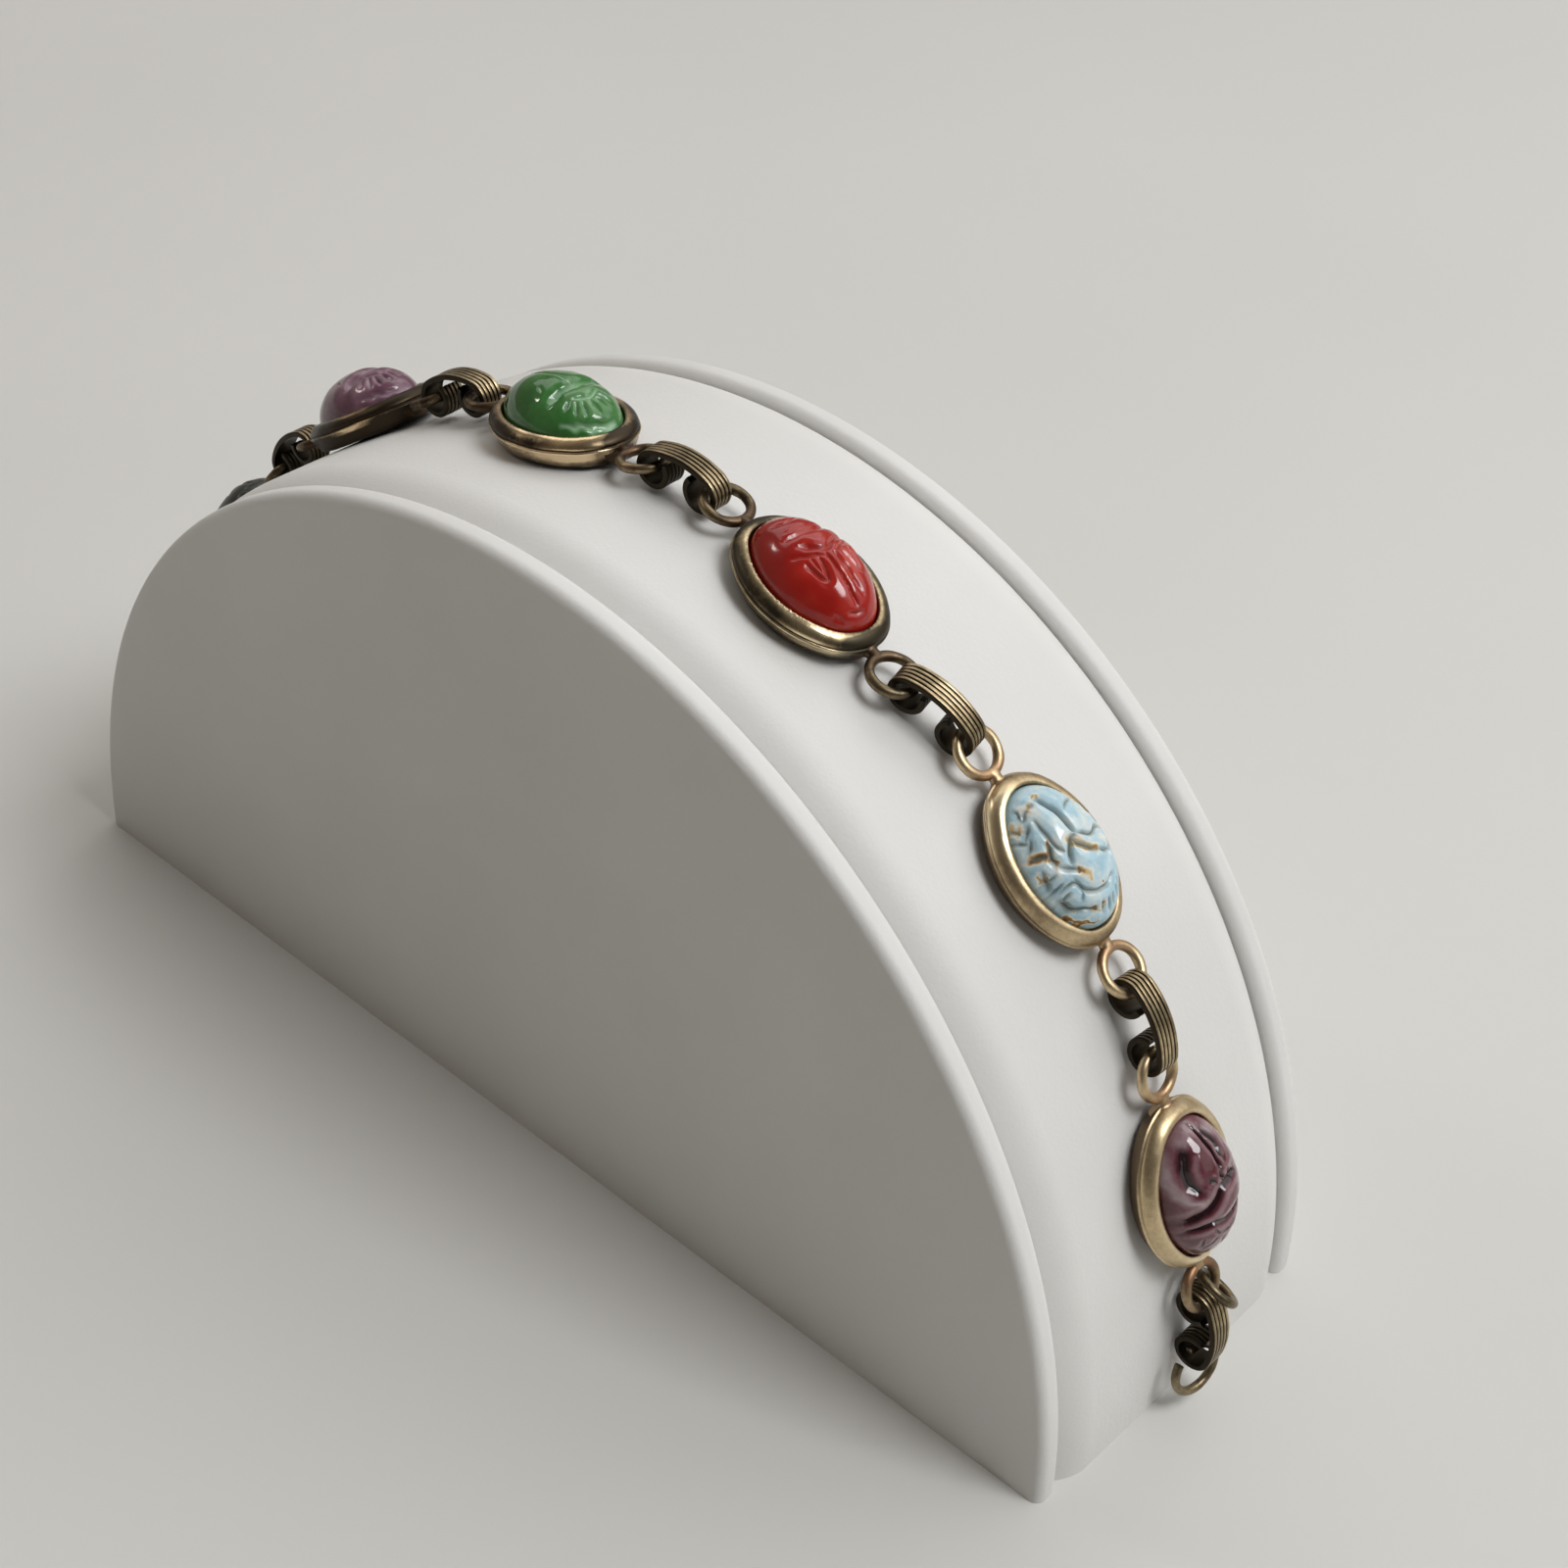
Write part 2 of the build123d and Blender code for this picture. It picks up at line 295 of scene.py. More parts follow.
def brass(name, bright, middle, dark, shine, mottle=0.55):
    """Old brass: bright where it is rubbed or a painted highlight lies, dark where the value of dirt and
    painted shade is high, and clouded in between.
    """
    n = Nodes(name)
    dirt = n.attribute("dirt")
    cloud = n.noise(330.0, detail=5.0, roughness=0.6)
    speck = n.noise(3000.0, detail=4.0, roughness=0.7)
    level = n.math("MULTIPLY_ADD", dirt, DIRT_SHADE_SHARE, CLEAN_LEVEL - mottle / 2)
    grime_and_shade = n.math("MULTIPLY_ADD", cloud, mottle, level)
    grime_and_shade = n.math("MULTIPLY_ADD", speck, SPECK_SHARE, grime_and_shade)
    base = n.ramp(grime_and_shade, (0.30, bright), (0.56, middle), (0.95, dark))
    n.put(Base_Color=n.mix(n.attribute("tint"), base, COPPER), Metallic=1.0)
    n.put(Roughness=n.ramp(grime_and_shade, (0.30, shine), (0.60, shine + 0.10), (1.0, shine + 0.20)))
    first = n.bump(cloud, strength=0.30, distance=0.06)
    n.bump(speck, strength=0.50, distance=0.02, after=first)
    return n.material


def stone(name, stops, groove, groove_share, rough, depth=None, wobble=0.5, clear=0.0):
    """A polished stone: its colour goes by the tint value and is clouded, with another in the carved lines.

    depth is the subsurface light's weight, radius and reach in millimetres, and clear is its transmission.
    """
    n = Nodes(name + "_stone")
    cloud = n.noise(330.0, detail=4.0, roughness=0.6)
    fine = n.noise(1700.0, roughness=0.65)
    value = n.math("MULTIPLY_ADD", n.math("SUBTRACT", cloud, 0.5), wobble, n.attribute("tint"))
    value = n.math("MULTIPLY_ADD", n.math("SUBTRACT", fine, 0.5), 0.6 * wobble, value, clamp=True)
    base = n.ramp(value, *stops)
    # The carved lines take the groove colour: painted shade where it is darker, and on the jade partly a
    # painted highlight.
    share = n.math("MULTIPLY", n.attribute("dirt"), groove_share)
    line = n.math("MULTIPLY", share, n.math("ADD", cloud, 0.5), clamp=True)
    n.put(Base_Color=n.mix(line, base, groove), IOR=1.54)
    n.put(Roughness=n.math("MULTIPLY_ADD", n.attribute("dirt"), 0.15, rough))
    if clear:
        n.put(Transmission_Weight=clear)
    if depth:
        n.put(Subsurface_Weight=depth[0], Subsurface_Radius=depth[1], Subsurface_Scale=depth[2] * MM)
    n.bump(fine, strength=0.10, distance=0.02)
    return n.material


# The groove colour of the turquoise, the amethyst and the dark stone is painted shade in the cuts; that of
# the jade is paler, frosted cuts with a painted highlight.
STONE_LOOKS = {
    "carnelian": {
        "stops": [(0.1, (0.24, 0.007, 0.006)), (0.5, (0.33, 0.012, 0.008)), (0.9, (0.42, 0.035, 0.022))],
        "groove": (0.34, 0.03, 0.022), "groove_share": 0.5, "rough": 0.16,
        "depth": (0.25, (1.0, 0.10, 0.05), 0.7), "wobble": 0.35},
    "jade": {
        "stops": [(0.1, (0.024, 0.110, 0.022)), (0.5, (0.045, 0.168, 0.040)), (0.9, (0.125, 0.27, 0.115))],
        "groove": (0.30, 0.50, 0.31), "groove_share": 0.95, "rough": 0.08,
        "depth": (0.30, (0.3, 1.0, 0.3), 0.8), "wobble": 0.7},
    "turquoise": {
        "stops": [(0.0, (0.37, 0.55, 0.64)), (0.16, (0.50, 0.64, 0.69)), (0.34, (0.69, 0.73, 0.70)),
                  (0.60, (0.60, 0.42, 0.17)), (0.82, (0.30, 0.16, 0.05)), (1.0, (0.12, 0.065, 0.025))],
        "groove": (0.17, 0.20, 0.175), "groove_share": 1.0, "rough": 0.20,
        "depth": (0.2, (0.8, 1.0, 1.0), 0.4), "wobble": 0.75},
    "amethyst": {
        "stops": [(0.0, (0.46, 0.37, 0.39)), (0.3, (0.27, 0.165, 0.182)), (0.6, (0.145, 0.043, 0.056)),
                  (0.85, (0.066, 0.014, 0.019)), (1.0, (0.02, 0.006, 0.008))],
        "groove": (0.022, 0.007, 0.010), "groove_share": 1.9, "rough": 0.05,
        "depth": (0.20, (1.0, 0.45, 0.6), 0.7), "wobble": 0.40, "clear": 0.15},
    "lilac": {
        "stops": [(0.1, (0.27, 0.165, 0.205)), (0.5, (0.145, 0.066, 0.098)), (0.9, (0.06, 0.018, 0.034))],
        "groove": (0.26, 0.17, 0.22), "groove_share": 0.5, "rough": 0.18,
        "depth": (0.30, (1.0, 0.6, 0.9), 0.8), "wobble": 0.6},
    "dark": {
        "stops": [(0.1, (0.008, 0.010, 0.008)), (0.5, (0.016, 0.020, 0.016)), (0.9, (0.03, 0.035, 0.03))],
        "groove": (0.006, 0.006, 0.006), "groove_share": 0.5, "rough": 0.34},
}


# Stand.

# Steps round the half-moon, along the rim's and the shoulder's arcs and across the crown, and the radii of
# the rings of points on the panels' and the deck's flat sides, from the middle outwards.
TURN_STEPS, RIM_STEPS, SHOULDER_STEPS, CROWN_STEPS = 241, 9, 12, 14
PANEL_RADII, DECK_RADII = (0.02, 15, 30, 42, 50, 55), (0.02, 30, 50)


def half_lathe(profile, steps):
    """Turns a closed outline of (radius, y) from +X over the top to -X and closes it at the floor."""
    profile = np.asarray(profile, float)
    angle = np.linspace(0, pi, steps)
    r, y = profile[:, 0][None, :], profile[:, 1][None, :]
    a = angle[:, None]
    points = np.stack([r * np.cos(a), y + 0 * a, r * np.sin(a)], -1)
    count = len(profile)
    faces = quads(steps, count, wrap_m=True).tolist()
    faces.append(list(range(count)))
    faces.append([(steps - 1) * count + k for k in range(count)][::-1])
    return points.reshape(-1, 3), faces


def arc(centre, radius, start, end, steps):
    """Points of an arc, from and to an angle in degrees."""
    t = np.radians(np.linspace(start, end, steps))
    return np.stack([centre[0] + radius * np.cos(t), centre[1] + radius * np.sin(t)], -1)


def panel_outline(outer, inner):
    """(radius, y) round a board whose rim is rounded on both faces."""
    sign = 1 if inner > outer else -1
    top = STAND_RADIUS
    rim_out = arc((top - RIM, outer + sign * RIM), RIM, -90 * sign, 0, RIM_STEPS)
    rim_in = arc((top - RIM, inner - sign * RIM), RIM, 0, 90 * sign, RIM_STEPS)
    radii = np.array(PANEL_RADII)
    face_out = np.stack([radii, np.full(len(radii), outer)], -1)
    face_in = np.stack([radii[::-1], np.full(len(radii), inner)], -1)
    return np.vstack([face_out, rim_out, rim_in, face_in])


def deck_outline():
    """(radius, y) round the padded core: flat sides, rounded shoulders and the crown between them."""
    edge = STAND_WIDTH / 2 - PANEL - SEAM_GAP
    drop = DECK_RADIUS - SEAM_RADIUS
    bend = (SHOULDER ** 2 + drop ** 2) / (2 * drop)
    flat = edge - SHOULDER
    half = degrees(asin(SHOULDER / bend))
    right = [(DECK_RADIUS - bend + bend * cos(radians(t)), flat + bend * sin(radians(t)))
             for t in np.linspace(0, half, SHOULDER_STEPS)]
    left = [(r, -y) for r, y in right[::-1]]
    crown = [(DECK_RADIUS, y) for y in np.linspace(-flat, flat, CROWN_STEPS)[1:-1]]
    side_in = [(r, -edge) for r in DECK_RADII]
    side_out = [(r, edge) for r in DECK_RADII[::-1]]
    return np.array(side_in + left + crown + right + side_out)


def make_stand(material):
    half = STAND_WIDTH / 2
    for name, node, outline in (
        ("front_panel", "stand_front_panel", panel_outline(-half, -half + PANEL)),
        ("back_panel", "stand_back_panel", panel_outline(half, half - PANEL)),
        ("padded_deck", "stand_body", deck_outline()),
    ):
        parts = Parts()
        points, faces = half_lathe(outline, TURN_STEPS)
        parts.add(points, faces)
        parts.build(name, Matrix(), material, node)


# Settings.

def oval(inset, steps):
    """Points and normals of the setting's outline, moved inwards by the inset: four tangent arcs."""
    reach = LENGTH / 2 - END_RADIUS
    side = (reach ** 2 + (WIDTH / 2) ** 2 - END_RADIUS ** 2) / (WIDTH - 2 * END_RADIUS)
    rise = side - WIDTH / 2
    split = atan2(rise, reach)
    spans = [(reach, 0, END_RADIUS, -split, split), (0, -rise, side, split, pi - split),
             (-reach, 0, END_RADIUS, pi - split, pi + split), (0, rise, side, pi + split, 2 * pi - split)]
    lengths = np.array([r * (b - a) for _, _, r, a, b in spans])
    ends = np.concatenate([[0], np.cumsum(lengths)])
    s = np.linspace(0, ends[-1], steps, endpoint=False)
    k = np.searchsorted(ends, s, side="right") - 1
    table = np.array(spans)[k]
    phi = table[:, 3] + (s - ends[k]) / table[:, 2]
    normal = np.stack([np.cos(phi), np.sin(phi)], -1)
    inset = np.asarray(inset, float)
    radius = table[:, 2][:, None] - inset[None, :]
    xy = table[:, None, :2] + radius[..., None] * normal[:, None, :]
    return xy, s


# Inset from the outline, height, and dirt and painted shade of the wall: its foot widens to a ridge, and over
# a groove the collar slopes in to a thin edge round the stone. Dirt lies in the groove; the dark foot and the
# inner wall under the stone are painted shade, and the dark collar is tarnish and a painted reflection of the
# dim room.
BEZEL = [
    (1.10, 0.02, 0.9), (0.80, 0.02, 0.9), (0.62, 0.10, 0.7), (0.46, 0.36, 0.5), (0.30, 0.74, 0.30),
    (0.14, 1.14, 0.16), (0.02, 1.38, 0.04), (0.0, 1.47, 0.0), (0.05, 1.55, 0.3), (0.16, 1.61, 1.0),
    (0.17, 1.67, 1.0), (0.11, 1.75, 0.8), (0.13, 1.88, 0.7), (0.24, 2.07, 0.75), (0.44, 2.26, 0.7),
    (0.68, 2.41, 0.45), (0.91, 2.49, 0.0), (1.08, 2.51, 0.0), (1.19, 2.44, 0.1), (1.24, 2.24, 0.5),
    (1.26, 1.95, 1.0), (1.26, 1.10, 1.0),
]


# How far the groove of each setting lies under that of the table, the painted shade added to its foot (a
# negative value lightens it, a painted highlight) and to all of it, and how plainly the grains of its edge
# show.
SEAMS = {
    "amethyst": (0.24, 0.85, 0.0, 0.25), "turquoise": (0.20, 0.8, 0.16, 0.25),
    "carnelian": (0.05, 0.1, 0.0, 1.0), "jade": (0.0, -0.15, 0.0, 0.6),
    "lilac": (0.05, 0.45, 0.30, 0.2), "dark": (0.1, 0.5, 0.5, 0.2),
}
# Place and reach of the bright patch on each setting: rubbed brass and a painted highlight.
RUBBED_AND_HIGHLIT = {
    "amethyst": (-6.5, 0.0, 3.0), "turquoise": (5.6, 3.0, 3.6), "carnelian": (-4.4, 4.2, 3.0),
    "jade": (-5.2, 3.5, 3.6), "lilac": (-3.0, 5.0, 2.6), "dark": (3.0, 5.0, 2.2),
}
# Steps along the setting's outline and its inner plate, and along and round a neck and a soldered ring.
OVAL_STEPS, PLATE_STEPS, NECK_STEPS, RING_STEPS = 440, 96, (15, 28), (72, 20)
# Insets and height of the plate under the stone, and the distance between two grains of the edge.
PLATE_INSETS, PLATE_HEIGHT, GRAIN = (1.2, 3.0), 0.6, 0.31
# A neck's half width and half height in its middle, and what its flare adds at the wall and at the ring.
NECK_HALVES = ((0.56, 0.95, 0.42), (0.50, 0.50, -0.06))


def ring_points(radius, wire, turn, steps, around, seed):
    """A wire ring about Z, open at +X when the turn is under a full one."""
    full = turn >= 359.9
    if full:
        a = np.linspace(0, 2 * pi, steps, endpoint=False)
    else:
        a = np.radians(np.linspace((360 - turn) / 2, (360 + turn) / 2, steps))
    b = np.linspace(0, 2 * pi, around, endpoint=False)
    a, b = np.meshgrid(a, b, indexing="ij")
    thick = wire * (1 + 0.035 * np.sin(3 * a + seed) + 0.02 * np.sin(7 * a + 2 * seed))
    r = radius + thick * np.cos(b)
    points = np.stack([r * np.cos(a), r * np.sin(a), thick * np.sin(b)], -1)
    faces = quads(steps, around, wrap_n=full, wrap_m=True).tolist()
    if not full:
        faces.append(list(range(around))[::-1])
        faces.append([(steps - 1) * around + k for k in range(around)])
    return points.reshape(-1, 3), faces


def neck_points(side):
    """The short soldered neck between the wall and the ring's wire, flared at both ends."""
    into_wall, into_ring = 0.45, 0.12
    start, end = LENGTH / 2 - into_wall, RING_X - RING + into_ring
    steps, around = NECK_STEPS
    t = np.linspace(0, 1, steps)[:, None]
    b = np.linspace(0, 2 * pi, around, endpoint=False)[None, :]
    flare = np.abs(2 * t - 1) ** 2.4
    wide, tall = (middle + np.where(t < 0.5, wall, ring) * flare for middle, wall, ring in NECK_HALVES)
    x = start + (end - start) * t + 0 * b
    points = np.stack([side * x, wide * np.cos(b), RING_Z + tall * np.sin(b)], -1)
    faces = quads(steps, around, wrap_m=True)
    if side < 0:
        faces = faces[:, ::-1]
    return points.reshape(-1, 3), faces.tolist()


def make_setting(name, place, material, tarnish, seed):
    """One setting: the wall with its collar, the plate under the stone, and a neck and a ring at each end."""
    seam, foot_shade, shade_all_over, beads = SEAMS[name]
    profile = smooth_line([(u, z) for u, z, _ in BEZEL], 2)
    profile[:, 1] -= seam * np.interp(profile[:, 1], [0, 1.3, 1.8, 2.4], [0, 1, 1, 0])
    at = np.linspace(0, len(BEZEL) - 1, len(profile))
    dirt = np.interp(at, np.arange(len(BEZEL)), [d for _, _, d in BEZEL])
    xy, s = oval(profile[:, 0], OVAL_STEPS)
    points = np.dstack([xy, np.broadcast_to(profile[:, 1], (OVAL_STEPS, len(profile)))])
    flat = points.reshape(-1, 3)

    # The casting is a little uneven, and its thin inner edge is granular.
    lump = noise(flat, 1.5, seed) * 0.030 + noise(flat, 0.55, seed + 3) * 0.008
    inner = np.clip(1 - np.abs(profile[:, 0] - 1.10) / 0.20, 0, 1) * (profile[:, 1] > 2.1)
    where = 0.5 + 0.5 * np.sin(s * 0.23 + seed) * np.sin(s * 0.61 + 1.3 * seed)
    bead = np.abs(np.sin(s * pi / GRAIN + 1.6 * np.sin(s * 1.3 + seed) + 0.9 * np.sin(s * 5.3)))
    bead = bead * (0.35 + 0.65 * where) * (0.7 + 0.3 * np.sin(s * 9.7 + seed)) * beads
    points = points + lump.reshape(OVAL_STEPS, -1)[..., None] * np.array([0.5, 0.5, 0.6])
    points[..., 2] += inner[None, :] * (0.09 * bead[:, None] - 0.02)
    points[..., 2] = np.maximum(points[..., 2], 0.0)

    # Dirt lies in the groove and round the solder. Painted shade darkens the foot, and all of some settings;
    # the metal is bright where it is rubbed and where a painted highlight is laid.
    low = np.clip((1.55 - seam - profile[:, 1]) / 0.15, 0, 1)
    # Painted shade on the foot and over the whole setting.
    dirt = dirt * tarnish + foot_shade * low + shade_all_over
    dirt = dirt + (1 - beads) * 0.8 * tarnish * inner
    grains = inner[None, :] * (0.6 * bead[:, None] - 0.35 * beads)
    grime_and_shade = np.broadcast_to(dirt, (OVAL_STEPS, len(profile))) - grains
    solder = np.exp(-((np.abs(points[..., 0]) - LENGTH / 2) / 1.5) ** 2 - (points[..., 1] / 1.7) ** 2)
    # The bright patch is rubbed brass and a painted highlight.
    ax, ay, reach = RUBBED_AND_HIGHLIT[name]
    away = np.hypot(points[..., 0] - ax, points[..., 1] - ay) / reach
    rubbed_and_highlit = np.clip(1 - away, 0, 1) * np.clip((points[..., 2] - 0.5) / 0.5, 0, 1)
    grime_and_shade = grime_and_shade + 0.9 * tarnish * solder * (1 - rubbed_and_highlit) - 1.1 * rubbed_and_highlit * (grime_and_shade < 0.95)

    parts = Parts()
    parts.add(points, quads(OVAL_STEPS, len(profile), wrap_n=True)[:, ::-1].tolist(), grime_and_shade)
    xy, _ = oval(PLATE_INSETS, PLATE_STEPS)
    plate = np.dstack([xy, np.full(xy.shape[:2], PLATE_HEIGHT)])
    middle = (np.arange(PLATE_STEPS) * 2 + 1).tolist()
    # The plate under the stone is dark all over: painted shade.
    parts.add(plate, quads(PLATE_STEPS, 2, wrap_n=True)[:, ::-1].tolist() + [middle], 1.0)
    for side in (-1, 1):
        points, faces = neck_points(side)
        parts.add(points, faces, 0.75 * tarnish + 0.1, 0.10 / tarnish)
        points, faces = ring_points(RING, WIRE, 360, *RING_STEPS, seed + side)
        points = points + np.array([side * RING_X, 0, RING_Z])
        solder = np.clip(1 - (np.abs(points[:, 0]) - RING_X + RING) / 1.6, 0, 1)
        # The ring is darker on its lower half and round the solder; the amethyst's ring at the hook end is
        # darker still.
        ring_darkness = 0.52 * tarnish + 0.30 * np.clip(RING_Z - points[:, 2], 0, 1) + 0.3 * solder
        if name == "amethyst" and side < 0:
            ring_darkness = ring_darkness + 0.35
        parts.add(points, faces, ring_darkness, (0.02 + 0.12 * solder) / tarnish)
    parts.build("setting_piece_" + name, place, material, "setting_" + name)


# Links and loose rings.

# Steps along half of a link's arch and along its roll, and across its ribbed and its plain side.
ARCH_STEPS, ROLL_STEPS, RIBBED_STEPS, PLAIN_STEPS = 18, 64, 61, 9


def make_link(name, node, place, material, seed):
    """A ribbed link: a strip that arches between its rings and rolls up round their wire at both ends."""
    middle = ROLL - LINK_THICK / 2
    lean = 2 * atan(ARCH / (SPACING / 2))
    offset = SPACING / 2 / sin(lean)
    big = offset + middle
    arch = np.linspace(0, lean, ARCH_STEPS)
    roll = np.linspace(lean, lean + radians(TURN), ROLL_STEPS)[1:]
    half = np.concatenate([
        np.stack([big * np.sin(arch), big * np.cos(arch) - offset * cos(lean), arch], -1),
        np.stack([SPACING / 2 + middle * np.sin(roll), middle * np.cos(roll), roll], -1)])
    left = half[1:][::-1] * np.array([-1, 1, -1])
    path = np.concatenate([left, half])
    across = np.linspace(-1, 1, RIBBED_STEPS)
    rib = (across * 0.5 + 0.5) * RIBS
    within = 2 * (rib - np.clip(np.floor(rib), 0, RIBS - 1)) - 1
    crest = 1 - 0.8 * np.abs(within) ** 4.5 - 0.2 * within ** 2
    top = np.stack([across * LINK_WIDTH / 2, LINK_THICK / 2 - RIB_DEPTH * (1 - crest)], -1)
    dirt_top = 1.3 * np.clip(np.abs(within) - 0.55, 0, 1) / 0.45
    plain = np.linspace(1, -1, PLAIN_STEPS) * LINK_WIDTH / 2 * 0.985
    under = np.stack([plain, np.full(PLAIN_STEPS, -LINK_THICK / 2)], -1)
    section = np.vstack([top, under])
    # The plain underside is dark: grime and painted shade.
    dirt = np.concatenate([dirt_top, np.full(PLAIN_STEPS, 0.75)])
    turn = path[:, 2]
    x = path[:, 0][:, None] + section[:, 1][None, :] * np.sin(turn)[:, None]
    z = path[:, 1][:, None] + section[:, 1][None, :] * np.cos(turn)[:, None]
    y = np.broadcast_to(section[:, 0], x.shape)
    points = np.stack([x, y, z], -1)
    flat = points.reshape(-1, 3)
    points = points + (noise(flat, 1.1, seed) * 0.018).reshape(x.shape)[..., None]
    # The rolls darken along their inward turn: grime and painted shade.
    roll_shade_and_grime = np.clip((np.abs(turn) - radians(60)) / radians(120), 0, 1)
    grime_and_shade = dirt[None, :] * 0.85 + 0.50 * roll_shade_and_grime[:, None] + 0.16
    parts = Parts()
    count = len(section)
    faces = quads(len(path), count, wrap_m=True)[:, ::-1].tolist()
    faces.append(list(range(count)))
    faces.append([(len(path) - 1) * count + k for k in range(count)][::-1])
    parts.add(points, faces, grime_and_shade)
    parts.build(name, place, material, node)


def make_ring(name, node, place, radius, turn, material, seed):
    """A loose ring, of slightly thinner wire than the soldered ones."""
    parts = Parts()
    points, faces = ring_points(radius, 0.9 * WIRE, turn, 84, 22, seed)
    parts.add(points, faces, 0.44)
    parts.build(name, place, material, node)


# Stones.

